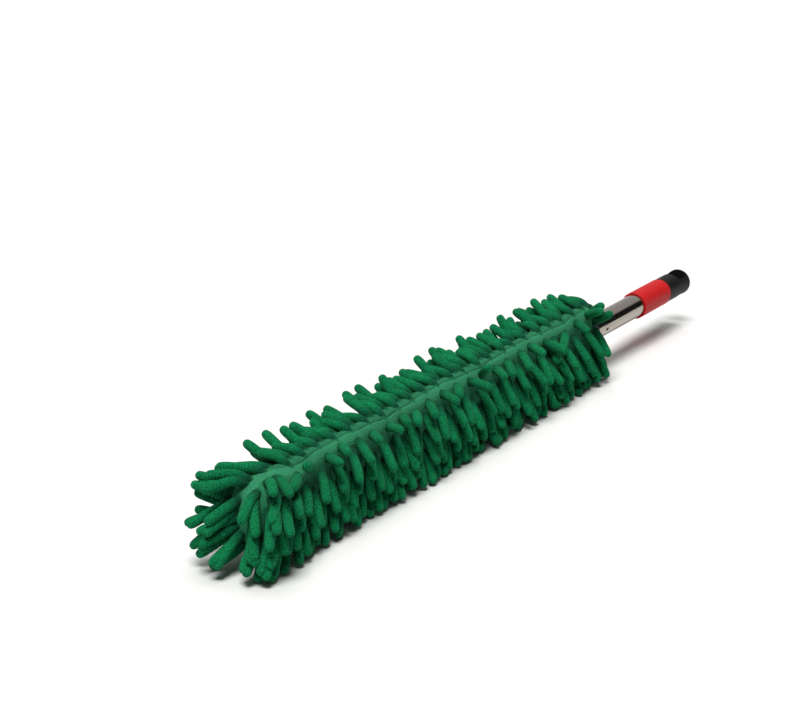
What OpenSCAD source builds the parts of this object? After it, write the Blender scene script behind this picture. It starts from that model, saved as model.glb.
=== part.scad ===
// Feather duster: a washable chenille cover on a flat bendable core, on a short steel pole.
// +X runs along the pole towards the hanging cap, +Z is up and the core stands on its edge.
// Lengths are in millimetres. Until placed() moves a part, X is counted from the cover's mouth,
// and Y and Z from the pole's axis.

/* [Cover] */
// Length of the cover's base cloth, mouth to front edge
cover_len = 547; // [320:1:800]
// Thickness of the base cloth
cloth_t = 1.6; // [1:0.1:3]
// Width of the sewn binding round the mouth
hem_w = 9; // [6:0.5:16]
// Thickness that the binding adds outside the cloth
hem_t = 1.4; // [0.8:0.1:3]
// Diameter of the head over its chenille fingers
head_d = 90; // [84:1:130]
// How much the head's own weight flattens its underside
pressed = 3; // [1:0.5:6]
// Reach of the fingers past the cover's front edge
pile_front = 26; // [6:1:34]
// Reach of the fingers back over the pole
pile_back = 20; // [6:1:30]
// Rounding of the head at its front end
front_round = 34; // [20:1:40]
// Rounding of the head at its rear end
rear_round = 26; // [16:1:40]

/* [Core] */
// Height of the flat core blade
blade_h = 46; // [36:1:60]
// Thickness of each moulded half of the blade
half_t = 1.5; // [1.2:0.1:2.5]
// Diameter of the two wires that hold a bend
wire_d = 3; // [2:0.1:4]
// Distance between the two wires
wire_gap = 30; // [24:0.5:34]
// Wall of the moulded rib over each wire
rib_wall = 1.1; // [0.8:0.1:2]
// Spacing of the slots that let the blade flex
slot_pitch = 24; // [16:1:40]
// Width of a flex slot along the blade
slot_w = 5; // [3:0.5:8]
// Diameter of the rivets through the blade
rivet_d = 2.6; // [2:0.1:4]
// Thickness of each foam pad
foam_t = 4.8; // [3:0.2:8]
// Wall of the soft tip bumper
bumper_wall = 1.2; // [0.8:0.1:3]
// Length of the tip bumper
bumper_len = 24; // [16:1:40]
// Corner radius of the cover's front end
corner_r = 22; // [14:1:23]

/* [Connector] */
// Length of the plug inside the pole
plug_len = 42; // [38:1:70]
// Wall of the hollow plug
plug_wall = 3; // [2:0.1:4]
// Thickness of the collar that the pole stands on
collar_t = 3; // [2:0.5:6]
// Length of the fork that holds the blade
fork_len = 41; // [36:1:60]
// Height of the fork
fork_h = 38; // [32:1:40]
// Thickness of each fork cheek
cheek_t = 3.4; // [2.5:0.1:4]

/* [Pole and grip] */
// Outside diameter of the steel pole
tube_d = 22; // [16:0.5:28]
// Wall of the steel pole
tube_wall = 0.8; // [0.6:0.1:1.2]
// Bare pole between the head and the grip
tube_bare = 80; // [30:1:400]
// Distance of the two crimp dents from the pole's front end
crimp_in = 16; // [12:1:30]
// Radius of a crimp dent
crimp_r = 3; // [2:0.1:4]
// Depth of a crimp dent
crimp_depth = 1.4; // [0.8:0.1:2]
// Wall of the red grip sleeve
grip_wall = 1.6; // [1:0.1:4]
// Length of the red grip sleeve
grip_len = 57; // [40:1:140]
// Length of the hanging cap outside the grip sleeve
cap_len = 48; // [44:1:90]
// Depth of the cap's socket over the pole
socket_len = 20; // [14:1:22]
// Length of the hanging slot along the pole
slot_len = 19; // [14:0.5:22]
// Wall left beside and behind the hanging slot
slot_wall = 2.8; // [2:0.1:5]
// Corner radius of the hanging slot
slot_r = 3; // [1:0.5:5]

/* [Clearances] */
// Gap between fixed parts that fit together
snug = 0.05; // [0.02:0.01:0.2]
// Gap between the core and the cover that slides over it
slip = 0.4; // [0.3:0.1:1]
// Gap between the fingers and the pole
pole_gap = 0.5; // [0.3:0.1:2]
// How far the hanging cap stands below the grip sleeve's surface
cap_step = 0.4; // [0.2:0.05:1]

/* [Hidden] */

$fn = 64;
eps = 0.01;

// Pole and grip
tube_r = tube_d / 2;
tube_bore_r = tube_r - tube_wall;
grip_r = tube_r + snug + grip_wall;
cap_r = grip_r - cap_step;
collar_x = 1;
tube_x = collar_x + collar_t;
grip_x = pile_back + tube_bare;
cap_x = grip_x + grip_len;
cap_end_x = cap_x + cap_len;
tube_end_x = cap_x + socket_len - 2 * snug;
slot_half_w = cap_r - slot_wall;
crimp_x = tube_x + crimp_in;
end_round = 2.2;
edge_cut = 0.6;
slot_end_wall = slot_wall + 1.2;
spigot_in = 4;
bore_floor = 2;
slot_x = cap_end_x - slot_end_wall - slot_len;

// Core, from its middle plane outwards
wire_r = wire_d / 2;
rib_r = wire_r + rib_wall;
rivet_r = rivet_d / 2;
rivet_head_r = rivet_r + 1.1;
rivet_head_t = 0.8;
wire_cover = 3;
foam_y = max(rib_r, half_t + rivet_head_t) + 2 * snug;
fork_y = half_t + snug + cheek_t;
core_y = max(foam_y + foam_t, fork_y + rivet_head_t);
bumper_y = half_t + snug + bumper_wall;
bumper_z = blade_h / 2 + snug + bumper_wall;

// Pocket and cover
pocket_y = core_y + slip;
pocket_z = bumper_z + slip;
panel_y = pocket_y + cloth_t;
band_z = pocket_z + cloth_t;
cover_x = -cover_len;
bumper_x = cover_x + cloth_t + slip;
blade_x = bumper_x + bumper_wall + snug;
fork_x = collar_x - fork_len;
fork_floor = 5;
rivet_edge = 8;
blade_tail_x = collar_x - fork_floor - snug;
rib_x = bumper_x + bumper_len + 1;
rib_end_x = fork_x - 1;
foam_end_gap = 3;
foam_edge_gap = 1;
foam_x = rib_x + foam_end_gap;
foam_end_x = rib_end_x - foam_end_gap;

// Head
head_r = head_d / 2;
head_x = cover_x - pile_front;
axis_z = head_r - pressed;
mid_x = (head_x + cap_end_x) / 2;

// Stands every part on the surface and puts the origin under the middle of the whole.
module placed() {
    translate([-mid_x, 0, axis_z]) children();
}

// Turns a part that is drawn along +Z to lie along +X.
module along_x(x = 0) {
    translate([x, 0, 0]) rotate([0, 90, 0]) children();
}

// Stands an outline that is drawn as (x, z) upright, from y0 to y1.
module upright(y0, y1) {
    translate([0, y1, 0]) rotate([90, 0, 0]) linear_extrude(y1 - y0) children();
}

// A cylinder across the core, from y0 to y1.
module across(x, z, y0, y1, r) {
    translate([x, y1, z]) rotate([90, 0, 0]) cylinder(r = r, h = y1 - y0);
}

// Mirrors its children to the right side when side is -1.
module on_side(side) {
    mirror([0, side < 0 ? 1 : 0, 0]) children();
}

// Side outline with a rounded front end: x0 is the front, x1 the rear and z the half height.
module side_outline(x0, x1, z, r) {
    intersection() {
        union() {
            translate([x0 + r, -z]) square([max(x1 - x0 - r, r), 2 * z]);
            translate([x0, r - z]) square([r + eps, 2 * (z - r)]);
            for (s = [-1, 1]) translate([x0 + r, s * (z - r)]) circle(r);
        }
        translate([x0, -z]) square([x1 - x0, 2 * z]);
    }
}

// Rectangle with round corners, centred.
module round_rect(l, w, r) {
    square([l - 2 * r, w], center = true);
    square([l, w - 2 * r], center = true);
    for (sx = [-1, 1], sy = [-1, 1]) translate([sx * (l / 2 - r), sy * (w / 2 - r)]) circle(r);
}

// ---- pole and grip -------------------------------------------------------------------------

// A dent's metal, pushed into the bore on one side of the pole.
module crimp_bump(side) {
    on_side(side) across(crimp_x, 0, tube_bore_r - crimp_depth, tube_r - tube_wall / 2, crimp_r);
}

// The hollow that a dent leaves outside, as a shallow ball.
module crimp_hollow(side) {
    ball_r = (crimp_r * crimp_r + crimp_depth * crimp_depth) / (2 * crimp_depth);
    on_side(side) translate([crimp_x, tube_r + ball_r - crimp_depth, 0]) sphere(ball_r);
}

module pole_tube() placed() color("silver") {
    difference() {
        union() {
            difference() {
                along_x(tube_x) cylinder(r = tube_r, h = tube_end_x - tube_x);
                along_x(tube_x - 1) cylinder(r = tube_bore_r, h = tube_end_x - tube_x + 2);
            }
            for (side = [-1, 1]) crimp_bump(side);
        }
        for (side = [-1, 1]) crimp_hollow(side);
    }
}

module grip_sleeve() placed() color("firebrick") {
    r_in = tube_r + snug;
    along_x(grip_x) rotate_extrude() polygon([
        [r_in, 0], [grip_r - edge_cut, 0], [grip_r, edge_cut],
        [grip_r, grip_len - edge_cut / 2], [grip_r - edge_cut / 2, grip_len], [r_in, grip_len],
    ]);
}

// Outline of the cap's turned body, as (radius, length), with a round outer end.
module cap_profile() {
    square([cap_r - end_round, cap_len]);
    square([cap_r, cap_len - end_round]);
    translate([cap_r - end_round, cap_len - end_round]) circle(end_round);
}

module hanging_cap() placed() color([0.1, 0.1, 0.1]) {
    spigot_r = tube_bore_r - snug;
    difference() {
        along_x(cap_x) rotate_extrude() intersection() {
            cap_profile();
            square([cap_r, cap_len]);
        }
        along_x(cap_x - eps) cylinder(r = tube_r + snug, h = socket_len + eps);
        translate([slot_x + slot_len / 2, 0, -cap_r - 1])
            linear_extrude(2 * cap_r + 2) round_rect(slot_len, 2 * slot_half_w, slot_r);
    }
    difference() {
        along_x(cap_x + spigot_in) cylinder(r = spigot_r, h = socket_len - spigot_in + eps);
        along_x(cap_x + spigot_in - 1) cylinder(r = spigot_r - plug_wall, h = socket_len - spigot_in);
    }
}

// ---- core ----------------------------------------------------------------------------------

// Places of the four rivets in the fork.
fork_rivet_x = [collar_x - fork_floor - rivet_edge, fork_x + rivet_edge + 1];
fork_rivet_z = fork_h / 2 - rivet_edge;

module at_fork_rivets() {
    for (x = fork_rivet_x, s = [-1, 1]) translate([x, 0, s * fork_rivet_z]) children();
}

module head_connector() placed() color([0.16, 0.17, 0.18]) {
    plug_r = tube_bore_r - snug;
    difference() {
        union() {
            along_x(collar_x) cylinder(r = tube_r, h = collar_t);
            along_x(collar_x) cylinder(r = plug_r, h = collar_t + plug_len);
            translate([fork_x, -fork_y, -fork_h / 2]) cube([fork_len, 2 * fork_y, fork_h]);
        }
        along_x(tube_x + bore_floor) cylinder(r = plug_r - plug_wall, h = plug_len);
        translate([fork_x - 1, -half_t - snug, -fork_h])
            cube([fork_len + 1 - fork_floor, 2 * (half_t + snug), 2 * fork_h]);
        for (side = [-1, 1]) on_side(side)
            across(crimp_x, 0, tube_bore_r - crimp_depth - 0.2, tube_r, crimp_r + 0.1);
        at_fork_rivets() across(0, 0, -fork_y - 1, fork_y + 1, rivet_r + snug);
    }
}

// A rivet across the core whose heads close on the faces at +y and -y.
module rivet(y) {
    across(0, 0, -y - snug, y + snug, rivet_r);
    for (side = [-1, 1]) on_side(side)
        across(0, 0, y + snug, y + snug + rivet_head_t - 2 * snug, rivet_head_r);
}

module fork_rivets() placed() color("gainsboro") {
    at_fork_rivets() rivet(fork_y);
}

// Flex slots stand between the wires, evenly spaced along the ribbed part of the blade.
slot_to_rib = 1.5;
slot_count = floor((rib_end_x - rib_x) / slot_pitch) - 1;
slot_first_x = (rib_x + rib_end_x) / 2 - slot_pitch * (slot_count - 1) / 2;
flex_slot_h = wire_gap - 2 * (rib_r + slot_to_rib);
rivet_every = 4;
rivet_count = floor((slot_count - 1) / rivet_every);

// Puts its children midway between two flex slots, at every fourth one.
module at_blade_rivets() {
    for (i = [0 : rivet_count - 1])
        translate([slot_first_x + (i * rivet_every + 1.5) * slot_pitch, 0, 0]) children();
}

// One moulded half of the blade, on the left of the middle plane.
module blade_half() {
    difference() {
        union() {
            upright(0, half_t)
                side_outline(blade_x, blade_tail_x, blade_h / 2, corner_r - cloth_t - bumper_wall);
            for (s = [-1, 1]) intersection() {
                translate([0, 0, s * wire_gap / 2]) along_x(rib_x)
                    cylinder(r = rib_r, h = rib_end_x - rib_x);
                translate([rib_x - 1, 0, -blade_h / 2]) cube([cover_len, rib_r + 1, blade_h]);
            }
        }
        for (s = [-1, 1]) translate([0, 0, s * wire_gap / 2])
            along_x(rib_x + wire_cover - snug)
                cylinder(r = wire_r + snug, h = rib_end_x - rib_x - 2 * (wire_cover - snug));
        for (i = [0 : slot_count - 1]) translate([slot_first_x + i * slot_pitch, 0, 0])
            upright(-1, rib_r + 1) round_rect(slot_w, flex_slot_h, slot_w / 2 - eps);
        at_blade_rivets() across(0, 0, -1, half_t + 1, rivet_r + snug);
        at_fork_rivets() across(0, 0, -1, half_t + 1, rivet_r + snug);
    }
}

module blade_half_left() placed() color("darkslategray") blade_half();
module blade_half_right() placed() color("slategray") on_side(-1) blade_half();

module bend_wire(s) {
    translate([0, 0, s * wire_gap / 2]) along_x(rib_x + wire_cover)
        cylinder(r = wire_r, h = rib_end_x - rib_x - 2 * wire_cover);
}

module bend_wire_upper() placed() color("darkgray") bend_wire(1);
module bend_wire_lower() placed() color("darkgray") bend_wire(-1);

module blade_rivets() placed() color("gainsboro") {
    at_blade_rivets() rivet(half_t);
}

module tip_bumper() placed() color([0.22, 0.22, 0.24]) {
    bumper_r = corner_r - cloth_t;
    difference() {
        upright(-bumper_y, bumper_y) side_outline(bumper_x, bumper_x + bumper_len, bumper_z, bumper_r);
        upright(-half_t - snug, half_t + snug)
            side_outline(blade_x - snug, bumper_x + bumper_len + 1, blade_h / 2 + snug, bumper_r - bumper_wall);
    }
}

// Soft pad glued on the ribs of one blade half.
module foam_pad() {
    translate([foam_x, foam_y, foam_edge_gap - blade_h / 2])
        cube([foam_end_x - foam_x, foam_t, blade_h - 2 * foam_edge_gap]);
}

module foam_pad_left() placed() color("khaki") foam_pad();
module foam_pad_right() placed() color("khaki") on_side(-1) foam_pad();

// ---- cover ---------------------------------------------------------------------------------

module cover_panel() {
    upright(pocket_y, panel_y) side_outline(cover_x, 0, band_z, corner_r);
}

module cover_panel_left() placed() color("mediumseagreen") cover_panel();
module cover_panel_right() placed() color("mediumseagreen") on_side(-1) cover_panel();

// The strip that joins both panels along the top, round the front and along the bottom.
module cover_edge_band() placed() color([0.35, 0.72, 0.55]) {
    y = pocket_y - snug;
    difference() {
        upright(-y, y) side_outline(cover_x, 0, band_z, corner_r);
        upright(-y - 1, y + 1) side_outline(cover_x + cloth_t, 1, pocket_z, corner_r - cloth_t);
    }
}

// The block of the mouth's binding, grown all round by g.
module hem_block(g) {
    y = panel_y + hem_t + g;
    z = band_z + hem_t + g;
    translate([-hem_w - g, -y, -z]) cube([hem_w + g, 2 * y, 2 * z]);
}

module cover_hem() placed() color("seagreen") {
    difference() {
        hem_block(0);
        translate([-hem_w - 1, -panel_y - snug, -band_z - snug])
            cube([hem_w + 2, 2 * (panel_y + snug), 2 * (band_z + snug)]);
    }
}

// Outline of the head over its fingers, as (radius, length), round at both ends.
module head_profile() {
    len = pile_back - head_x;
    square([head_r - front_round, len]);
    translate([0, front_round]) square([head_r, len - front_round - rear_round]);
    translate([head_r - front_round, front_round]) circle(front_round);
    translate([0, front_round]) square([head_r - rear_round, len - front_round]);
    translate([head_r - rear_round, len - rear_round]) circle(rear_round);
}

// The fingers of one panel as one soft body: half of the round head, flat underneath.
module chenille() {
    inner_y = panel_y + snug;
    difference() {
        intersection() {
            along_x(head_x) rotate_extrude() intersection() {
                head_profile();
                square([head_r, pile_back - head_x]);
            }
            translate([head_x - 1, inner_y, -axis_z])
                cube([pile_back - head_x + 2, head_r, axis_z + head_r]);
        }
        hem_block(snug);
        along_x(-hem_w) cylinder(r = tube_r + pole_gap, h = hem_w + pile_back + 1);
    }
}

module chenille_left() placed() color("green") chenille();
module chenille_right() placed() color("forestgreen") on_side(-1) chenille();

pole_tube();
grip_sleeve();
hanging_cap();
head_connector();
fork_rivets();
blade_half_left();
blade_half_right();
bend_wire_upper();
bend_wire_lower();
blade_rivets();
tip_bumper();
foam_pad_left();
foam_pad_right();
cover_panel_left();
cover_panel_right();
cover_edge_band();
cover_hem();
chenille_left();
chenille_right();
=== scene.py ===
"""Feather duster: chenille fingers on a knitted cover, a flat bendable core, a steel pole and a soft grip."""
import math
import random

import bmesh
import bpy
from bpy.props import FloatProperty, IntProperty, PointerProperty, StringProperty
from mathutils import Matrix, Vector


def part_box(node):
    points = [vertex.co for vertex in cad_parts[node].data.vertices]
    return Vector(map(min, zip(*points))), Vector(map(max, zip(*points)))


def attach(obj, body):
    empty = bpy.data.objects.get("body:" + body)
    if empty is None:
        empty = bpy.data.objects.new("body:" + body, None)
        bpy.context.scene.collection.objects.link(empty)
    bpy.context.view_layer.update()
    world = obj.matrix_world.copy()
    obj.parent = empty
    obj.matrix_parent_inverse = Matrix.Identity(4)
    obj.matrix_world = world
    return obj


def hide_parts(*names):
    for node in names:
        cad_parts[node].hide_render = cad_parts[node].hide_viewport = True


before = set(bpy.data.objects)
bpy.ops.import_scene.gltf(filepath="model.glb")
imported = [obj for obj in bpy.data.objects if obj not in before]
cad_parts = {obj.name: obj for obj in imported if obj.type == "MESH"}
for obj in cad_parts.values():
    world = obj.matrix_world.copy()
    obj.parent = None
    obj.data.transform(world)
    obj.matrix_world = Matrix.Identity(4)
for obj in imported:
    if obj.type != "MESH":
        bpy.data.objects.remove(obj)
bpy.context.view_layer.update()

bl_info = {
    "name": "Feather Duster",
    "version": (1, 0, 0),
    "blender": (4, 5, 0),
    "location": "View3D > Sidebar > Duster",
    "description": "Builds the cloth, fingers, finishes and stage of a chenille duster round its CAD frame",
    "category": "Object",
}

MM = 0.001

# ---- places that come from the frame ---------------------------------------------------------

PANEL_LOW, PANEL_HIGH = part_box("cover_panel_left")
HEM_LOW, HEM_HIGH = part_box("cover_hem")
POLE_LOW, POLE_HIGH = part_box("pole_tube")
GRIP_LOW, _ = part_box("grip_sleeve")

AXIS_Z = (POLE_LOW.z + POLE_HIGH.z) / 2
FRONT_X = PANEL_LOW.x
MOUTH_X = PANEL_HIGH.x
COVER_LEN = MOUTH_X - FRONT_X
EDGE_R = PANEL_HIGH.y
PLATE_HALF_H = (PANEL_HIGH.z - PANEL_LOW.z) / 2 - EDGE_R


# ---- settings --------------------------------------------------------------------------------

class DusterSizes(bpy.types.PropertyGroup):
    """Sizes of the soft parts, as a maker would give them."""

    finger_length: FloatProperty(
        name="Finger length", description="Length of one chenille finger from cloth to tip",
        default=33 * MM, unit="LENGTH")
    finger_width: FloatProperty(
        name="Finger width", description="Diameter of a finger over its pile",
        default=8.5 * MM, unit="LENGTH")
    column_pitch: FloatProperty(
        name="Column pitch", description="Distance between fingers in one row, along the cover",
        default=21.7 * MM, unit="LENGTH")
    row_count: IntProperty(
        name="Rows", description="Rows of fingers on each side of the cover", default=8)
    parting: FloatProperty(
        name="Parting", description="Distance from the middle of the ridge band to the first row",
        default=4.2 * MM, unit="LENGTH")
    band_width: FloatProperty(
        name="Band width", description="Width of the knit band between the two sides",
        default=8 * MM, unit="LENGTH")
    cloth: FloatProperty(
        name="Cloth", description="Thickness of the knitted base cloth",
        default=1.2 * MM, unit="LENGTH")
    seed: IntProperty(name="Seed", description="Seed of the hand-shaken look", default=7)


class DusterColours(bpy.types.PropertyGroup):
    """Finishes as sRGB hex values."""

    chenille: StringProperty(name="Chenille", description="Dyed microfibre pile", default="#0B7546")
    # painted shade: a darker pile colour that the fingers take near the cloth, standing in for the shade
    # among the pile
    chenille_root_painted_shade: StringProperty(name="Chenille root", description="Pile near the cloth", default="#06402A")
    knit: StringProperty(name="Base knit", description="Cloth under the fingers", default="#1F6E49")
    # Partly painted highlight: the ridge knit is a little paler than the sides' knit, and the rest of its
    # lightness stands in for the light that falls on the ridge.
    band: StringProperty(name="Ridge band", description="Lighter knit of the ridge", default="#2C8259")
    binding: StringProperty(name="Binding", description="Elastic binding of the mouth", default="#0C3F28")
    grip: StringProperty(name="Grip", description="Red soft grip sleeve", default="#B0181B")
    cap: StringProperty(name="Cap", description="Black moulded hanging cap", default="#0D0D0D")


# ---- materials -------------------------------------------------------------------------------

def colour(hex_value):
    """An sRGB hex value as a linear colour."""
    channels = [int(hex_value[i:i + 2], 16) / 255 for i in (1, 3, 5)]
    linear = [c / 12.92 if c <= 0.04045 else ((c + 0.055) / 1.055) ** 2.4 for c in channels]
    return (*linear, 1.0)


def add_node(tree, kind, settings=None, **links):
    """Adds a node, sets its properties and socket values, and links its sockets by name."""
    node = tree.nodes.new(kind)
    for key, value in (settings or {}).items():
        if key in node.inputs:
            node.inputs[key].default_value = value
        else:
            setattr(node, key, value)
    for key, source in links.items():
        tree.links.new(source, node.inputs[key.replace("_", " ")])
    return node


def new_material(name, settings):
    """A Principled material: itself, its tree and its shader, whose own sockets have the settings."""
    material = bpy.data.materials.new(name)
    material.use_nodes = True
    tree = material.node_tree
    shader = tree.nodes["Principled BSDF"]
    for key, value in settings.items():
        shader.inputs[key].default_value = value
    return material, tree, shader


def ramp(tree, fac, stops):
    """A colour ramp through (position, linear colour) stops."""
    node = add_node(tree, "ShaderNodeValToRGB", Fac=fac)
    elements = node.color_ramp.elements
    while len(elements) < len(stops):
        elements.new(0.5)
    for element, (position, value) in zip(elements, stops):
        element.position, element.color = position, value
    return node.outputs["Color"]


def maths(tree, operation, *values):
    """The result of a math node on sockets and numbers, given in the node's order."""
    node = add_node(tree, "ShaderNodeMath", {"operation": operation})
    for socket, value in zip(node.inputs, values):
        if isinstance(value, bpy.types.NodeSocket):
            tree.links.new(value, socket)
        else:
            socket.default_value = value
    return node.outputs[0]


def between(tree, value, low, high):
    """A value from 0 to 1, spread from low to high."""
    node = add_node(tree, "ShaderNodeMapRange", {"To Min": low, "To Max": high}, Value=value)
    return node.outputs["Result"]


def multiplied(tree, base, shade):
    """One colour multiplied by another."""
    node = add_node(tree, "ShaderNodeMix", {"data_type": "RGBA", "blend_type": "MULTIPLY", "Factor": 1.0})
    tree.links.new(base, node.inputs["A"])
    tree.links.new(shade, node.inputs["B"])
    return node.outputs["Result"]


def spots(tree, place, size, detail, roughness=0.5):
    """Noise with spots of a size in metres, as a value from 0 to 1."""
    settings = {"Scale": 1 / size, "Detail": detail, "Roughness": roughness}
    return add_node(tree, "ShaderNodeTexNoise", settings, Vector=place).outputs["Fac"]


def bump(tree, height, strength, depth, under=None):
    """The normal of a bump of a depth in metres, on top of another bump's normal if that is given."""
    node = add_node(tree, "ShaderNodeBump", {"Strength": strength, "Distance": depth}, Height=height)
    if under:
        tree.links.new(under, node.inputs["Normal"])
    return node.outputs["Normal"]


def grey(value):
    """A grey as a linear colour, which may be brighter than white where it multiplies another."""
    return (value, value, value, 1)


def chenille_pile(colours):
    """Microfibre chenille, tufted in rings round a core thread and piece dyed: matt, soft-edged fingers with
    painted shade that darkens them towards the cloth, and a faint sheen on their rims."""
    material, tree, shader = new_material("chenille_pile", {
        "Roughness": 0.95, "Specular IOR Level": 0.08, "Sheen Weight": 0.1,
        "Sheen Roughness": 0.5, "Sheen Tint": colour("#6FCF9E")})
    uv = add_node(tree, "ShaderNodeUVMap", {"uv_map": "along"}).outputs["UV"]
    along = add_node(tree, "ShaderNodeSeparateXYZ", Vector=uv).outputs["Y"]
    tone = add_node(tree, "ShaderNodeAttribute", {"attribute_name": "tone"}).outputs["Fac"]
    place = add_node(tree, "ShaderNodeTexCoord").outputs["Object"]
    # the tufts are about 0.5 mm, drawn at 1.25 mm so that they show
    tufts = spots(tree, place, 1.25 * MM, detail=3.0, roughness=0.65)
    # painted shade: the fingers darken from mid-length down towards the cloth, where the pile among them is
    # shaded; right at the cloth they take the knit's colour
    body = ramp(tree, along, [(0.02, colour(colours.knit)), (0.12, colour(colours.chenille_root_painted_shade)),
                              (0.45, colour(colours.chenille))])
    speckle = ramp(tree, tufts, [(0.34, grey(0.42)), (0.64, grey(1.25))])
    toned = add_node(tree, "ShaderNodeHueSaturation", Color=multiplied(tree, body, speckle), Value=tone)
    tree.links.new(toned.outputs["Color"], shader.inputs["Base Color"])
    # 32 mm of pile in rings of 1.9 mm, whose edges the tufts break up
    rings_per_finger = 32 / 1.9
    raggedness = 4.0
    rings = maths(tree, "MULTIPLY", along, rings_per_finger * math.tau)
    wave = maths(tree, "SINE", maths(tree, "MULTIPLY_ADD", tufts, raggedness, rings))
    ring_bump = bump(tree, wave, strength=0.4, depth=0.5 * MM)
    tuft_bump = bump(tree, tufts, strength=1.0, depth=1.2 * MM, under=ring_bump)
    tree.links.new(tuft_bump, shader.inputs["Normal"])
    return material


def weft_knit(name, hex_value, rib_mm):
    """Brushed microfibre weft knit: close ribs along the cloth under a short nap, so it looks soft and
    a little lighter than the pile."""
    material, tree, shader = new_material(name, {
        "Roughness": 0.92, "Specular IOR Level": 0.2, "Sheen Weight": 0.08,
        "Sheen Roughness": 0.4, "Sheen Tint": colour("#8FE0B8")})
    place = add_node(tree, "ShaderNodeTexCoord").outputs["Object"]
    # a wave texture of scale 1 has about this many bands in a metre
    bands = 3.14
    ribs = add_node(tree, "ShaderNodeTexWave", {
        "bands_direction": "X", "Scale": 1 / (rib_mm * MM) / bands, "Distortion": 2.0, "Detail": 2.0,
        "Detail Scale": 1.5}, Vector=place).outputs["Fac"]
    nap = spots(tree, place, 0.9 * MM, detail=4.0)
    patchy = spots(tree, place, 14 * MM, detail=2.0)
    base = colour(hex_value)
    darker = tuple(0.82 * c for c in base[:3]) + (1,)
    shade = ramp(tree, patchy, [(0.3, darker), (0.7, base)])
    fleck = ramp(tree, nap, [(0.35, grey(0.7)), (0.65, grey(1.12))])
    tree.links.new(multiplied(tree, shade, fleck), shader.inputs["Base Color"])
    rib_bump = bump(tree, ribs, strength=0.3, depth=0.3 * MM)
    nap_bump = bump(tree, nap, strength=0.8, depth=0.6 * MM, under=rib_bump)
    tree.links.new(nap_bump, shader.inputs["Normal"])
    return material


def polished_stainless():
    """Welded stainless tube, belt polished: near-mirror, with faint scratches round the tube that
    stretch its reflections a little."""
    material, tree, shader = new_material("polished_stainless_tube", {
        "Metallic": 1.0, "Roughness": 0.12, "Base Color": colour("#9F988E")})
    place = add_node(tree, "ShaderNodeTexCoord").outputs["Object"]
    # polishing lines are finer than 0.1 mm, drawn at 0.4 mm along the tube and long round it
    stretched = add_node(tree, "ShaderNodeMapping", {"Scale": (1 / (0.4 * MM), 60, 60)}, Vector=place)
    lines = spots(tree, stretched.outputs["Vector"], 1.0, detail=3.0)
    tree.links.new(between(tree, lines, 0.08, 0.2), shader.inputs["Roughness"])
    tree.links.new(bump(tree, lines, strength=0.04, depth=0.05 * MM), shader.inputs["Normal"])
    return material


def moulded(name, hex_value, roughness, grain_mm, strength, worn=1.25):
    """Injection-moulded plastic or rubber with a spark-eroded mould grain: even colour, soft
    highlights, and slightly paler rubbed patches."""
    material, tree, shader = new_material(name, {"Roughness": roughness, "Specular IOR Level": 0.12})
    place = add_node(tree, "ShaderNodeTexCoord").outputs["Object"]
    grain = spots(tree, place, grain_mm * MM, detail=3.0)
    rubbed = spots(tree, place, 18 * MM, detail=4.0, roughness=0.6)
    base = colour(hex_value)
    paler = tuple(min(1.0, worn * c + 0.002) for c in base[:3]) + (1,)
    tree.links.new(ramp(tree, rubbed, [(0.4, base), (0.75, paler)]), shader.inputs["Base Color"])
    rough = between(tree, rubbed, roughness - 0.05, roughness + 0.08)
    tree.links.new(rough, shader.inputs["Roughness"])
    tree.links.new(bump(tree, grain, strength, depth=0.1 * MM), shader.inputs["Normal"])
    return material


def bare_metal(name, hex_value, roughness):
    """Drawn wire and headed rivets: dull metal with fine drawing lines."""
    material, tree, shader = new_material(name, {
        "Metallic": 1.0, "Roughness": roughness, "Base Color": colour(hex_value)})
    place = add_node(tree, "ShaderNodeTexCoord").outputs["Object"]
    lines = spots(tree, place, 0.5 * MM, detail=3.0)
    rough = between(tree, lines, roughness - 0.1, roughness + 0.15)
    tree.links.new(rough, shader.inputs["Roughness"])
    tree.links.new(bump(tree, lines, strength=0.15, depth=0.1 * MM), shader.inputs["Normal"])
    return material


def open_cell_foam():
    """Cut polyurethane foam: cream, with open pores all over that have painted shade inside."""
    material, tree, shader = new_material("open_cell_foam", {"Roughness": 0.95, "Specular IOR Level": 0.1})
    place = add_node(tree, "ShaderNodeTexCoord").outputs["Object"]
    pores = {"Scale": 1 / (1.2 * MM)}
    cells = add_node(tree, "ShaderNodeTexVoronoi", pores, Vector=place).outputs["Distance"]
    # painted shade: each pore darkens towards its middle, where shade falls in it
    shade = ramp(tree, cells, [(0.0, colour("#A89B78")), (0.5, colour("#DDD2AE"))])
    tree.links.new(shade, shader.inputs["Base Color"])
    tree.links.new(bump(tree, cells, strength=0.8, depth=0.6 * MM), shader.inputs["Normal"])
    return material


# ---- pieces ----------------------------------------------------------------------------------

def link_piece(name, mesh, material, body, slot, node):
    """Adds a piece to the scene on its CAD body, with its material and the node it stands for."""
    piece = bpy.data.objects.new(name, mesh)
    bpy.context.scene.collection.objects.link(piece)
    mesh.materials.append(material)
    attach(piece, body)
    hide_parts(node)
    return piece


def mesh_from(bm, name, smooth=True):
    """The bmesh as a new mesh, with its faces shaded smooth or flat."""
    mesh = bpy.data.meshes.new(name)
    for face in bm.faces:
        face.smooth = smooth
    bm.to_mesh(mesh)
    bm.free()
    return mesh


def smoothstep(t):
    """0 up to t = 0, 1 from t = 1, and a soft rise between."""
    t = min(1.0, max(0.0, t))
    return t * t * (3 - 2 * t)


# ---- the cover's form ------------------------------------------------------------------------
# The cover is a soft envelope at EDGE_R round a flat plate, whose front corners are rounded. Its
# outline runs from the mouth along the top, round the front and back along the bottom; a place on it
# is (run, across): how far along the outline, and how far from the middle of the edge over to the
# left (+) or right (-) side.

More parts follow.
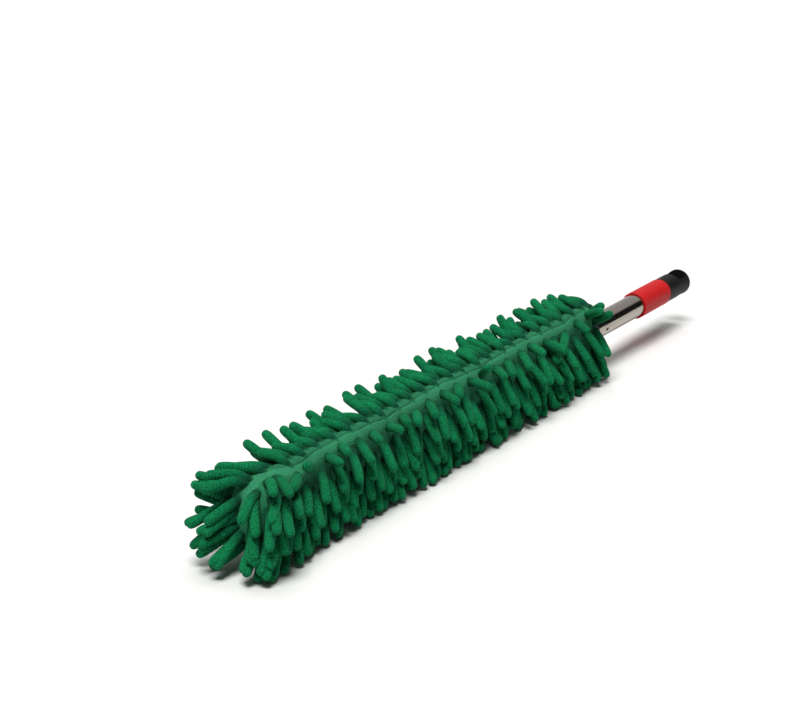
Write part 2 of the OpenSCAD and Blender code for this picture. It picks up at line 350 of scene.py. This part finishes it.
PLATE_CORNER = 12.5 * MM
TOP_RUN = COVER_LEN - EDGE_R - PLATE_CORNER
CORNER_RUN = math.pi / 2 * PLATE_CORNER
FRONT_RUN = 2 * (PLATE_HALF_H - PLATE_CORNER)
OUTLINE = 2 * (TOP_RUN + CORNER_RUN) + FRONT_RUN
EDGE_RUN = math.pi / 2 * EDGE_R
ACROSS_MAX = EDGE_RUN + PLATE_HALF_H

# The loose cloth stands off the pads by this much at the front, and comes to lie on them by this
# far along the cover.
FRONT_FULLNESS, FULLNESS_LEN = 8.5 * MM, 90 * MM

# How far the ridge band lies beside the middle of the edge, and the waves it makes there, in mm.
# The lengths of the waves are for one radian of them.
TURNED, LONG_WAVE, SHORT_WAVE = 9.4, 1.7, 0.5
LONG_WAVE_LEN, LONG_WAVE_START, SHORT_WAVE_LEN = 23 * MM, 7.2, 6 * MM
# The band starts to turn this far into the front corner, and has turned fully over this length.
TURN_START, TURN_LEN = 6 * MM, 45 * MM


def outline(run):
    """The plate's outline at a run: its point and outward normal, as (x, z) from the pole's axis."""
    if run > OUTLINE / 2:
        point, normal = outline(OUTLINE - run)
        return Vector((point.x, -point.y)), Vector((normal.x, -normal.y))
    front_x = FRONT_X + EDGE_R
    if run <= TOP_RUN:
        return Vector((MOUTH_X - run, PLATE_HALF_H)), Vector((0.0, 1.0))
    run -= TOP_RUN
    if run <= CORNER_RUN:
        a = run / PLATE_CORNER
        normal = Vector((-math.sin(a), math.cos(a)))
        centre = Vector((front_x + PLATE_CORNER, PLATE_HALF_H - PLATE_CORNER))
        return centre + normal * PLATE_CORNER, normal
    return Vector((front_x, PLATE_HALF_H - PLATE_CORNER - (run - CORNER_RUN))), Vector((-1.0, 0.0))


def fullness(x, turn):
    """How far the loose cloth stands off the pads near the front, by its place along the cover and
    how far it has turned from the edge to the side, from 0 to 1."""
    return FRONT_FULLNESS * smoothstep(1 - (x - FRONT_X) / FULLNESS_LEN) * smoothstep(turn)


def on_cover(run, across):
    """The point and outward normal of the cover's outside at (run, across)."""
    edge, out = outline(run)
    side = 1.0 if across >= 0 else -1.0
    if abs(across) < EDGE_RUN:
        a = across / EDGE_R
        normal = Vector((out.x * math.cos(a), math.sin(a), out.y * math.cos(a)))
        place = Vector((edge.x, 0, edge.y + AXIS_Z)) + normal * EDGE_R
        place.y += side * fullness(place.x, abs(across) / EDGE_RUN)
        return place, normal
    t = (abs(across) - EDGE_RUN) / PLATE_HALF_H
    middle = Vector((max(edge.x, FRONT_X + EDGE_R + PLATE_HALF_H), 0.0))
    place = edge.lerp(middle, t)
    return Vector((place.x, side * (EDGE_R + fullness(place.x, 1)), place.y + AXIS_Z)), Vector((0, side, 0))


def drift(run):
    """How far the cover has turned on the core at a run: the ridge band lies to the right of the top
    and to the left of the bottom, except at the front, where the core's edge holds it."""
    from_front = TOP_RUN - min(run, OUTLINE - run)
    long_wave = LONG_WAVE * math.cos(from_front / LONG_WAVE_LEN - LONG_WAVE_START)
    short_wave = SHORT_WAVE * math.sin(from_front / SHORT_WAVE_LEN)
    turned = (TURNED + long_wave + short_wave) * smoothstep((from_front + TURN_START) / TURN_LEN)
    return math.copysign(turned * MM, OUTLINE / 2 - run)


# ---- chenille fingers ------------------------------------------------------------------------

# Place along a finger from 0 to 1, and its width there as a share of the full width.
FINGER_PROFILE = (
    (0.0, 0.86), (0.06, 0.96), (0.15, 1.0), (0.35, 1.0), (0.58, 1.0), (0.8, 1.0), (0.92, 0.93),
    (0.975, 0.68), (1.0, 0.3),
)
FINGER_SIDES = 8
PATH_STEPS = 16
# A finger has turned from its start to its end direction after 1 / BEND_RATE of its length. It may
# be sunk in the cloth for its first steps, and lies free on it a few steps later.
BEND_RATE, SUNK_STEPS, FREEING_STEPS = 2.2, 2, 5
# How far sideways a finger turns where it meets the floor, as a share of how far it goes along.
SPREAD_ON_FLOOR = 0.4


def finger_template(width):
    """One straight finger along +Z of unit length: a round bar of a few rings with a domed tip."""
    bm = bmesh.new()
    bmesh.ops.create_circle(bm, cap_ends=True, segments=FINGER_SIDES, radius=width / 2)
    bmesh.ops.scale(bm, vec=(FINGER_PROFILE[0][1],) * 3, verts=bm.verts)
    cap = list(bm.faces)
    for (low, before), (high, after) in zip(FINGER_PROFILE, FINGER_PROFILE[1:]):
        grown = bmesh.ops.extrude_face_region(bm, geom=cap)["geom"]
        bmesh.ops.delete(bm, geom=cap, context="FACES_ONLY")
        ring = [g for g in grown if isinstance(g, bmesh.types.BMVert)]
        cap = [g for g in grown if isinstance(g, bmesh.types.BMFace)]
        bmesh.ops.scale(bm, vec=(after / before, after / before, 1), verts=ring)
        bmesh.ops.translate(bm, vec=(0, 0, high - low), verts=ring)
    bmesh.ops.recalc_face_normals(bm, faces=bm.faces)
    along = bm.loops.layers.uv.new("along")
    for face in bm.faces:
        for loop in face.loops:
            co = loop.vert.co
            loop[along].uv = (math.atan2(co.y, co.x) / math.tau + 0.5, co.z)
    return mesh_from(bm, "finger_template")


def clear_of_cover(point, clearance):
    """The point, moved straight out of the cover's body until its surface is a clearance away."""
    side = fullness(point.x, 1)
    up = min(PLATE_HALF_H, max(-PLATE_HALF_H, point.z - AXIS_Z))
    inside = Vector((max(point.x, FRONT_X + EDGE_R), min(side, max(-side, point.y)), AXIS_Z + up))
    away = point - inside
    if 0 < away.length < EDGE_R + clearance:
        return inside + away.normalized() * (EDGE_R + clearance)
    return point


def finger_path(root, start, end, length, radius):
    """Points and directions along a finger that leaves root along start and comes to lie along end,
    on the cover and not in it, without going through the surface that the duster rests on."""
    step = length / PATH_STEPS
    points, directions = [root], [start.normalized()]
    for i in range(PATH_STEPS):
        direction = start.lerp(end, smoothstep((i + 0.5) / PATH_STEPS * BEND_RATE)).normalized()
        if points[-1].z + direction.z * step < radius:
            sideways = math.copysign(SPREAD_ON_FLOOR, root.y)
            flat = Vector((math.copysign(1.0, direction.x), sideways, 0)).normalized()
            direction = flat + Vector((0, 0, max(0.0, radius - points[-1].z) / step))
        free = points[-1] + direction * step
        freed = min(1.0, (i - SUNK_STEPS + 1) / FREEING_STEPS) if i >= SUNK_STEPS else -1.0
        reached = clear_of_cover(free, radius * freed)
        direction = (reached - points[-1]).normalized()
        points.append(points[-1] + direction * step)
        directions.append(direction)
    return points, directions


def add_finger(bm, template, path, tone, turn):
    """Copies the template into bm, bent along its path and turned about it, with its own tone."""
    points, directions = path
    side = directions[0].orthogonal().normalized()
    sides = []
    for direction in directions:
        side = (side - direction * side.dot(direction)).normalized()
        sides.append(side)
    spin = Matrix.Rotation(turn, 3, "Z")
    tones = bm.verts.layers.float["tone"]
    first = len(bm.verts)
    bm.from_mesh(template)
    bm.verts.ensure_lookup_table()
    for vert in bm.verts[first:]:
        i = min(PATH_STEPS - 1, int(vert.co.z * PATH_STEPS))
        f = vert.co.z * PATH_STEPS - i
        centre = points[i].lerp(points[i + 1], f)
        direction = directions[i].lerp(directions[i + 1], f).normalized()
        a = sides[i].lerp(sides[i + 1], f)
        a = (a - direction * a.dot(direction)).normalized()
        flat = spin @ Vector((vert.co.x, vert.co.y, 0))
        vert.co = centre + a * flat.x + direction.cross(a) * flat.y
        vert[tones] = tone


# Directions that the fingers settle in, as (along, across to the left, up). On the left the first
# row lies flat, the second stands up and the rest lie behind it. On the right the first row is short
# stubs along the ridge, and the rows below droop more the lower they are.
LEFT_AT_FRONT, LEFT_AT_REAR = Vector((0.02, 1.0, -0.24)), Vector((0.32, 1.0, -0.02))
LEFT_STANDING, LEFT_BEHIND = Vector((0.08, -0.08, 0.3)), Vector((0.0, -0.1, 0.5))
LEFT_AT_SEAM, LEFT_AT_MOUTH = Vector((-0.7, 0.46, -0.55)), Vector((0.45, 0.95, 0.02))
RIGHT_AT_FRONT, RIGHT_AT_REAR = Vector((-0.82, -0.5, -0.34)), Vector((-0.25, -0.85, -0.36))
RIGHT_STUB = Vector((-0.78, -0.6, 0.14))
LOW_AT_FRONT, LOW_AT_REAR = Vector((-0.62, -0.42, -0.7)), Vector((-0.15, -0.5, -0.84))
RIGHT_AT_SEAM, RIGHT_AT_MOUTH = Vector((-0.62, -0.36, -0.7)), Vector((-0.45, -0.5, 0.6))

# The front of the left side fans out forward, and up or down with the height of the root.
FAN_FORWARD, FAN_UP, FAN_DOWN, SEAM_FAN = -0.5, 0.3, 0.12, 0.2
# The fan ends at 1 / FAN_RATE of the cover's length.
FAN_RATE = 6
# How soon a root counts as on the front seam, near the floor, at the top of the mouth or low down.
SEAM_RATE, FLOOR_RATE, TOP_RATE, LOW_START = 1.3, 1.4, 1.6, 0.85
# The floor pushes the lowest front fingers forward, up to FLOOR_START * FLOOR_LEN from the front.
FLOOR_START, FLOOR_LEN = 1.3, 22 * MM
PUSHED_FORWARD, PUSHED_ACROSS, PUSHED_DOWN, PUSHED_APART = -0.9, -0.12, -0.38, 0.22
# The top fingers this near the mouth turn back over it.
LEFT_MOUTH_LEN, RIGHT_MOUTH_LEN = 70 * MM, 24 * MM


def settle(root, normal, side, row, rng):
    """Start and end directions of a finger, from its root, the cloth's normal there and its row:
    loose is how far chance turns it, held how much the cloth's normal counts at its start, and rise
    how much it lifts there."""
    from_front = root.x - FRONT_X
    from_mouth = MOUTH_X - root.x
    t = from_front / COVER_LEN
    height = (root.z - AXIS_Z) / (PLATE_HALF_H + EDGE_R)
    seam = smoothstep(-SEAM_RATE * normal.x)
    floor = smoothstep(-FLOOR_RATE * height) * smoothstep(FLOOR_START - from_front / FLOOR_LEN)
    mouth = smoothstep(height * TOP_RATE)
    if side > 0:
        mouth *= smoothstep(1 - from_mouth / LEFT_MOUTH_LEN)
        end = LEFT_AT_FRONT.lerp(LEFT_AT_REAR, t)
        end += (Vector(), LEFT_STANDING * (0.3 + t), LEFT_BEHIND)[min(row, 2)]
        fan = Vector((FAN_FORWARD, 0, max(FAN_UP * height, FAN_DOWN * height)))
        end += fan * smoothstep(1 - t * FAN_RATE)
        end = end.lerp(LEFT_AT_SEAM + Vector((0, 0, SEAM_FAN * height)), seam)
        end = end.lerp(LEFT_AT_MOUTH, mouth)
        loose, held, rise = 0.17, 0.35 - 0.1 * seam, 0.08 * (1 - seam)
    else:
        mouth *= smoothstep(1 - from_mouth / RIGHT_MOUTH_LEN)
        low = smoothstep(LOW_START - height)
        end = RIGHT_AT_FRONT.lerp(RIGHT_AT_REAR, t).lerp(LOW_AT_FRONT.lerp(LOW_AT_REAR, t), low)
        loose, held, rise = 0.1, 0.4, 0.0
        if row == 0 and height > 0:
            end = end.lerp(RIGHT_STUB, 1 - 0.5 * t)
            loose, held, rise = 0.2, 0.2, 0.25
        end = end.lerp(RIGHT_AT_SEAM, seam).lerp(RIGHT_AT_MOUTH, mouth)
    pushed = Vector((PUSHED_FORWARD, PUSHED_APART * side + PUSHED_ACROSS, PUSHED_DOWN))
    end = end.lerp(pushed, floor)
    end += Vector([rng.gauss(0, loose) for _ in range(3)])
    return normal * held + end * (1 - held) + Vector((0, 0, rise)), end


# A row starts this far from the mouth, and its second finger follows after a share of the pitch that
# changes from row to row, so that the rows stand in each other's gaps.
ROW_START, STAGGER, STAGGER_START = 6 * MM, 0.46, 2 * MM
# The rows end this far past the straight top, and the first row as far before its end.
ROW_END = 2 * MM
# Round the front the fingers stand in rings along the band, a little further from it.
RING_PITCHES = (4.8 * MM, 6.6 * MM, 11 * MM)
RING_START, RING_END, RING_GAP = 4 * MM, 2 * MM, 0.8 * MM
# Chance moves each root by about this far along and across, and changes its length and tone.
RUN_SCATTER, ACROSS_SCATTER = 1.0 * MM, 0.6 * MM
LENGTH_RANGE, TONE_RANGE = (0.92, 1.06), (0.86, 1.1)
# Fingers this near the front are this many times as long.
FRONT_ZONE, FRONT_STRETCH = 30 * MM, 1.12
# The root is sewn in this deep under the cloth's outside, and this far back along the finger.
SEWN_DEEP, SEWN_BACK = 2.7 * MM, 0.8 * MM


class DUSTER_OT_fingers(bpy.types.Operator):
    """Sews the chenille fingers on both sides of the cover, row by row"""

    bl_idname = "duster.fingers"
    bl_label = "Chenille Fingers"

    def roots(self, sizes):
        """Yields (run, across, row) of one side's fingers: rows along the cover, then its front."""
        row_pitch = 2 * (ACROSS_MAX - sizes.parting) / (sizes.row_count - 1)
        for row in range(sizes.row_count):
            across = sizes.parting + row * row_pitch
            run = ROW_START
            step = STAGGER_START + STAGGER * (1 + row % 2) * sizes.column_pitch
            while run < TOP_RUN + (ROW_END if row else -ROW_END):
                if across <= ACROSS_MAX:
                    yield run, across, row
                else:
                    yield OUTLINE - run, 2 * ACROSS_MAX - across, row
                run += step
                step = sizes.column_pitch
        for ring, pitch in enumerate(RING_PITCHES):
            run = TOP_RUN + RING_START
            while run < OUTLINE - TOP_RUN - RING_END:
                yield run, sizes.parting + RING_GAP + ring * row_pitch, ring
                run += pitch

    def execute(self, context):
        sizes, colours = context.scene.duster_sizes, context.scene.duster_colours
        rng = random.Random(sizes.seed)
        template = finger_template(sizes.finger_width)
        material = chenille_pile(colours)
        radius = sizes.finger_width / 2
        for side, name in ((1, "left"), (-1, "right")):
            bm = bmesh.new()
            bm.verts.layers.float.new("tone")
            bm.loops.layers.uv.new("along")
            for run, across, row in self.roots(sizes):
                run += rng.gauss(0, RUN_SCATTER)
                across += rng.gauss(0, ACROSS_SCATTER)
                root, normal = on_cover(run, side * across - drift(run))
                start, end = settle(root, normal, side, row, rng)
                stretch = FRONT_STRETCH if root.x < FRONT_X + FRONT_ZONE else 1.0
                length = sizes.finger_length * rng.uniform(*LENGTH_RANGE) * stretch
                sewn = root - normal * SEWN_DEEP - start.normalized() * SEWN_BACK
                path = finger_path(sewn, start, end, length, radius)
                add_finger(bm, template, path, rng.uniform(*TONE_RANGE), rng.uniform(0, math.tau))
            piece_name = f"chenille_fingers_{name}"
            mesh = mesh_from(bm, piece_name)
            piece = link_piece(piece_name, mesh, material, "cover", "chenille", f"chenille_{name}")
            soft = piece.modifiers.new("round_pile", "SUBSURF")
            soft.levels = soft.render_levels = 1
        bpy.data.meshes.remove(template)
        return {"FINISHED"}


# ---- cloth -----------------------------------------------------------------------------------

# Faces along the cover's outline, and across a side's cloth and the band.
CLOTH_STEPS_RUN, SIDE_STEPS, BAND_STEPS = 420, 14, 8
# What the band's two seams take up of its flat width, and how near points have to be to be one.
SEAM_ALLOWANCE, WELD = 2.5 * MM, 0.02 * MM


def beside_band(offset):
    """A line at an offset from the band's middle, as a distance across for every run."""
    return lambda run: offset - drift(run)


def middle_height(side):
    """The line at a side's middle height, where the runs above and below meet."""
    return lambda run: side * ACROSS_MAX


def cloth_strip(low, high, steps_run, steps_across):
    """A strip of the cover's cloth all along its outline, between two lines."""
    bm = bmesh.new()
    bmesh.ops.create_grid(bm, x_segments=steps_run, y_segments=steps_across, size=0.5)
    for vert in bm.verts:
        run = (vert.co.x + 0.5) * OUTLINE
        share = vert.co.y + 0.5
        across = low(run) * (1 - share) + high(run) * share
        vert.co, _ = on_cover(run, across)
    bmesh.ops.remove_doubles(bm, verts=bm.verts, dist=WELD)
    bmesh.ops.recalc_face_normals(bm, faces=bm.faces)
    return bm


class DUSTER_OT_cloth(bpy.types.Operator):
    """Makes the knitted base cloth of both sides and the ridge band between them"""

    bl_idname = "duster.cloth"
    bl_label = "Cover Cloth"

    def execute(self, context):
        sizes, colours = context.scene.duster_sizes, context.scene.duster_colours
        base = weft_knit("brushed_base_knit", colours.knit, rib_mm=2.2)
        # the band's colour is partly painted highlight: a paler knit, plus the light that falls on the ridge
        light = weft_knit("ridge_band_knit_partly_painted_highlight", colours.band, rib_mm=2.6)
        half = sizes.band_width / 2
        strips = (
            ("cover_cloth_left", base, "base_knit", "cover_panel_left",
             beside_band(half), middle_height(1), SIDE_STEPS),
            ("cover_cloth_right", base, "base_knit", "cover_panel_right",
             middle_height(-1), beside_band(-half), SIDE_STEPS),
            ("ridge_band", light, "edge_knit", "cover_edge_band",
             beside_band(-half), beside_band(half), BAND_STEPS),
        )
        for name, material, slot, node, low, high, steps in strips:
            bm = cloth_strip(low, high, CLOTH_STEPS_RUN, steps)
            bmesh.ops.solidify(bm, geom=bm.faces, thickness=sizes.cloth)
            piece = link_piece(name, mesh_from(bm, name), material, "cover", slot, node)
            if name == "ridge_band":
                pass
            else:
                pad = "foam_slab_left" if "left" in name else "foam_slab_right"
        return {"FINISHED"}


# The binding's gathers, the height of its roll over the cloth, and its own thickness.
GATHERS, GATHER_DEPTH = 38, 0.25 * MM
ROLL_HEIGHT, BINDING_THICKNESS = 1.0 * MM, 0.5 * MM
# How many faces the binding has round the mouth and across its width.
BINDING_STEPS_ROUND, BINDING_STEPS_WIDE = 260, 10


class DUSTER_OT_binding(bpy.types.Operator):
    """Makes the elastic binding that is folded over the mouth's raw edge and gathers it"""

    bl_idname = "duster.binding"
    bl_label = "Mouth Binding"

    def execute(self, context):
        colours = context.scene.duster_colours
        girth = 4 * ACROSS_MAX
        width = HEM_HIGH.x - HEM_LOW.x
        bm = bmesh.new()
        bmesh.ops.create_grid(bm, x_segments=BINDING_STEPS_ROUND, y_segments=BINDING_STEPS_WIDE, size=0.5)
        for vert in bm.verts:
            place, share = (vert.co.x + 0.5) * girth, vert.co.y + 0.5
            upper = place < girth / 2
            across = place - ACROSS_MAX if upper else 3 * ACROSS_MAX - place
            spot, normal = on_cover(0 if upper else OUTLINE, across)
            roll = math.sin(math.pi * share)
            gather = GATHER_DEPTH * math.sin(place / girth * math.tau * GATHERS) * roll
            rise = ROLL_HEIGHT * roll ** 0.4 + gather
            vert.co = spot + normal * rise + Vector((-width * (1 - share), 0, 0))
        bmesh.ops.remove_doubles(bm, verts=bm.verts, dist=WELD)
        bmesh.ops.recalc_face_normals(bm, faces=bm.faces)
        bmesh.ops.solidify(bm, geom=bm.faces, thickness=BINDING_THICKNESS)
        elastic = weft_knit("elastic_hem_binding", colours.binding, rib_mm=1.4)
        mesh = mesh_from(bm, "mouth_binding")
        piece = link_piece("mouth_binding", mesh, elastic, "cover", "hem_binding", "cover_hem")
        return {"FINISHED"}


# Into how many lengths and heights a pad is cut, by axis, so that its outer face can be shaped.
PAD_CUTS = ((0, 50), (2, 6))
# How far that face is sunk at its top and bottom and bulges between, and its waves, in mm. The
# waves' rates are in radians for each metre.
PAD_DIP, PAD_BULGE = 0.5, 0.3
PAD_LONG_WAVE, PAD_SHORT_WAVE = 0.12, 0.08
PAD_LONG_RATE, PAD_SHORT_RATE = 90, 241
# Edges that turn by more than this, in radians, are rounded by this much.
SHARP_ANGLE, PAD_EDGE = 1.0, 0.7 * MM


class DUSTER_OT_pads(bpy.types.Operator):
    """Cuts the two foam pads that fill the cover out on both sides of the blade"""

    bl_idname = "duster.pads"
    bl_label = "Foam Pads"

    def execute(self, context):
        foam = open_cell_foam()
        rng = random.Random(context.scene.duster_sizes.seed)
        for side in ("left", "right"):
            low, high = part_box(f"foam_pad_{side}")
            size = high - low
            bm = bmesh.new()
            bmesh.ops.create_cube(bm, size=1)
            bmesh.ops.scale(bm, vec=size, verts=bm.verts)
            bmesh.ops.translate(bm, vec=(low + high) / 2, verts=bm.verts)
            for axis, count in PAD_CUTS:
                for i in range(1, count):
                    at = low.copy()
                    at[axis] += size[axis] * i / count
                    normal = Vector([1.0 if k == axis else 0.0 for k in range(3)])
                    cut = bm.verts[:] + bm.edges[:] + bm.faces[:]
                    bmesh.ops.bisect_plane(bm, geom=cut, plane_co=at, plane_no=normal)
            phase = rng.uniform(0, math.tau)
            face_y = size.y / 2 + min(abs(low.y), abs(high.y))
            for vert in bm.verts:
                if abs(vert.co.y) > face_y:
                    bulge = PAD_BULGE * math.sin(math.pi * (vert.co.z - low.z) / size.z)
                    long_wave = PAD_LONG_WAVE * math.sin(vert.co.x * PAD_LONG_RATE + phase)
                    short_wave = PAD_SHORT_WAVE * math.sin(vert.co.x * PAD_SHORT_RATE)
                    dip = PAD_DIP - bulge + long_wave + short_wave
                    vert.co.y -= math.copysign(dip * MM, vert.co.y)
            sharp = [e for e in bm.edges if len(e.link_faces) == 2 and e.calc_face_angle() > SHARP_ANGLE]
            bmesh.ops.bevel(bm, geom=sharp, offset=PAD_EDGE, segments=3, profile=0.5, affect="EDGES")
            name = f"foam_slab_{side}"
            piece = link_piece(name, mesh_from(bm, name), foam, "handle", "foam", f"foam_pad_{side}")
        return {"FINISHED"}


class DUSTER_OT_hard_parts(bpy.types.Operator):
    """Gives the pole, grip, cap and the core's parts their finishes"""

    bl_idname = "duster.hard_parts"
    bl_label = "Pole, Grip and Core Finishes"

    def execute(self, context):
        colours = context.scene.duster_colours
        steel = polished_stainless()
        red = moulded("soft_grip_rubber", colours.grip, roughness=0.5, grain_mm=0.5, strength=0.15, worn=1.1)
        black = moulded("black_polypropylene", colours.cap, roughness=0.52, grain_mm=0.5, strength=0.2)
        connector = moulded("glass_filled_nylon", "#242628", roughness=0.5, grain_mm=0.6, strength=0.3)
        blade = moulded("flexible_polypropylene", "#3A4144", roughness=0.55, grain_mm=0.8, strength=0.2)
        bumper = moulded("soft_bumper_rubber", "#2A2A2C", roughness=0.7, grain_mm=0.6, strength=0.3)
        wire = bare_metal("annealed_steel_wire", "#8B8A88", roughness=0.45)
        rivet = bare_metal("aluminium_rivet", "#C9CACB", roughness=0.35)
        finishes = {
            "pole_tube": steel, "grip_sleeve": red, "hanging_cap": black, "head_connector": connector,
            "fork_rivets": rivet, "blade_rivets": rivet, "blade_half_left": blade,
            "blade_half_right": blade, "bend_wire_upper": wire, "bend_wire_lower": wire,
            "tip_bumper": bumper,
        }
        for node, material in finishes.items():
            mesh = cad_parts[node].data
            mesh.materials.clear()
            mesh.materials.append(material)
        return {"FINISHED"}


# ---- stage -----------------------------------------------------------------------------------

CAMERA_AZIMUTH, CAMERA_ELEVATION = -59.4, 17.1
CAMERA_LENS, CAMERA_DISTANCE = 100.7, 2.136
# What the camera is set by: a point on the pole's axis this far inside the grip, which stands this
# far to the right of and above the middle of the view.
GRIP_INSET, GRIP_RIGHT, GRIP_UP = 36.5 * MM, 238.6 * MM, 63.9 * MM
# Suns as (name, azimuth, elevation, spread, strength), with angles in degrees.
SUNS = (("key", -72, 66, 26, 3.65), ("top", 120, 72, 40, 1.1))
# Half the width of the floor, in metres.
FLOOR_HALF = 40
# The dark near side of the studio ends between these heights and between these depths.
DARK_TOP, DARK_BACK = (0.36, 0.42), (-0.05, 0.25)
# How bright the studio is to reflections and to diffuse light, and its dark side to both.
SEEN_STRENGTH, FILL_STRENGTH, DARK_STRENGTH = 0.56, 0.08, 0.015


def towards(azimuth, elevation):
    """The unit vector from the duster towards a lamp or the camera, in degrees: azimuth 0 is -Y."""
    a, e = math.radians(azimuth), math.radians(elevation)
    return Vector((math.sin(a) * math.cos(e), -math.cos(a) * math.cos(e), math.sin(e)))


def studio_world(world):
    """A white studio whose near side is dark up to the lights' height, which polished metal shows as
    a black band; the camera sees it all white."""
    world.use_nodes = True
    tree = world.node_tree
    tree.nodes.clear()
    direction = add_node(tree, "ShaderNodeTexCoord").outputs["Generated"]
    parts = add_node(tree, "ShaderNodeSeparateXYZ", Vector=direction).outputs
    edges = []
    for height, (low, high) in ((parts["Z"], DARK_TOP), (parts["Y"], DARK_BACK)):
        edge = {"interpolation_type": "SMOOTHSTEP", "From Min": low, "From Max": high}
        edges.append(add_node(tree, "ShaderNodeMapRange", edge, Value=height).outputs["Result"])
    rays = add_node(tree, "ShaderNodeLightPath").outputs
    white = maths(tree, "MAXIMUM", maths(tree, "MAXIMUM", *edges), rays["Is Camera Ray"])
    bright = between(tree, rays["Is Diffuse Ray"], SEEN_STRENGTH, FILL_STRENGTH)
    strength = maths(tree, "MULTIPLY_ADD", white, bright, DARK_STRENGTH)
    background = add_node(tree, "ShaderNodeBackground", {"Color": (1, 1, 1, 1)}, Strength=strength)
    add_node(tree, "ShaderNodeOutputWorld", Surface=background.outputs[0])


class DUSTER_OT_stage(bpy.types.Operator):
    """Sets the pale floor, the soft studio lights and the camera"""

    bl_idname = "duster.stage"
    bl_label = "Stage"

    def execute(self, context):
        scene = context.scene
        bm = bmesh.new()
        bmesh.ops.create_grid(bm, x_segments=1, y_segments=1, size=FLOOR_HALF)
        floor = bpy.data.objects.new("floor", mesh_from(bm, "floor", smooth=False))
        scene.collection.objects.link(floor)
        paper, _, _ = new_material("white_paper_sweep", {"Base Color": colour("#DCDCDA"), "Roughness": 0.9})
        floor.data.materials.append(paper)

        world = scene.world or bpy.data.worlds.new("studio")
        scene.world = world
        studio_world(world)
        for name, azimuth, elevation, spread, strength in SUNS:
            lamp = bpy.data.lights.new(name, "SUN")
            lamp.energy, lamp.angle = strength, math.radians(spread)
            light = bpy.data.objects.new(name, lamp)
            light.rotation_mode = "QUATERNION"
            light.rotation_quaternion = (-towards(azimuth, elevation)).to_track_quat("-Z", "Y")
            scene.collection.objects.link(light)

        lens = bpy.data.cameras.new("camera")
        lens.lens, lens.sensor_width = CAMERA_LENS, 36
        camera = bpy.data.objects.new("camera", lens)
        scene.collection.objects.link(camera)
        back = towards(CAMERA_AZIMUTH, CAMERA_ELEVATION)
        right = Vector((-back.y, back.x, 0)).normalized()
        up = back.cross(right)
        grip = Vector((GRIP_LOW.x + GRIP_INSET, 0, AXIS_Z))
        camera.location = grip - right * GRIP_RIGHT - up * GRIP_UP + back * CAMERA_DISTANCE
        camera.rotation_mode = "QUATERNION"
        camera.rotation_quaternion = (-back).to_track_quat("-Z", "Y")
        scene.camera = camera
        scene.view_settings.view_transform = "Standard"
        return {"FINISHED"}


class DUSTER_PT_panel(bpy.types.Panel):
    """Lists the duster's operators"""

    bl_idname = "DUSTER_PT_panel"
    bl_label = "Feather Duster"
    bl_space_type = "VIEW_3D"
    bl_region_type = "UI"
    bl_category = "Duster"

    def draw(self, context):
        for operator in OPERATORS:
            self.layout.operator(operator.bl_idname)
        for settings in (context.scene.duster_sizes, context.scene.duster_colours):
            for name in settings.bl_rna.properties.keys():
                if name not in ("rna_type", "name"):
                    self.layout.prop(settings, name)


OPERATORS = (
    DUSTER_OT_stage, DUSTER_OT_hard_parts, DUSTER_OT_pads,
    DUSTER_OT_cloth, DUSTER_OT_binding, DUSTER_OT_fingers,
)
CLASSES = (DusterSizes, DusterColours, *OPERATORS, DUSTER_PT_panel)


def register():
    for cls in CLASSES:
        bpy.utils.register_class(cls)
    bpy.types.Scene.duster_sizes = PointerProperty(type=DusterSizes)
    bpy.types.Scene.duster_colours = PointerProperty(type=DusterColours)


def unregister():
    del bpy.types.Scene.duster_colours
    del bpy.types.Scene.duster_sizes
    for cls in reversed(CLASSES):
        bpy.utils.unregister_class(cls)


def main():
    """Builds everything round the CAD frame."""
    register()
    bpy.ops.duster.stage()
    bpy.ops.duster.hard_parts()
    bpy.ops.duster.pads()
    bpy.ops.duster.cloth()
    bpy.ops.duster.binding()
    bpy.ops.duster.fingers()


if __name__ == "__main__":
    main()
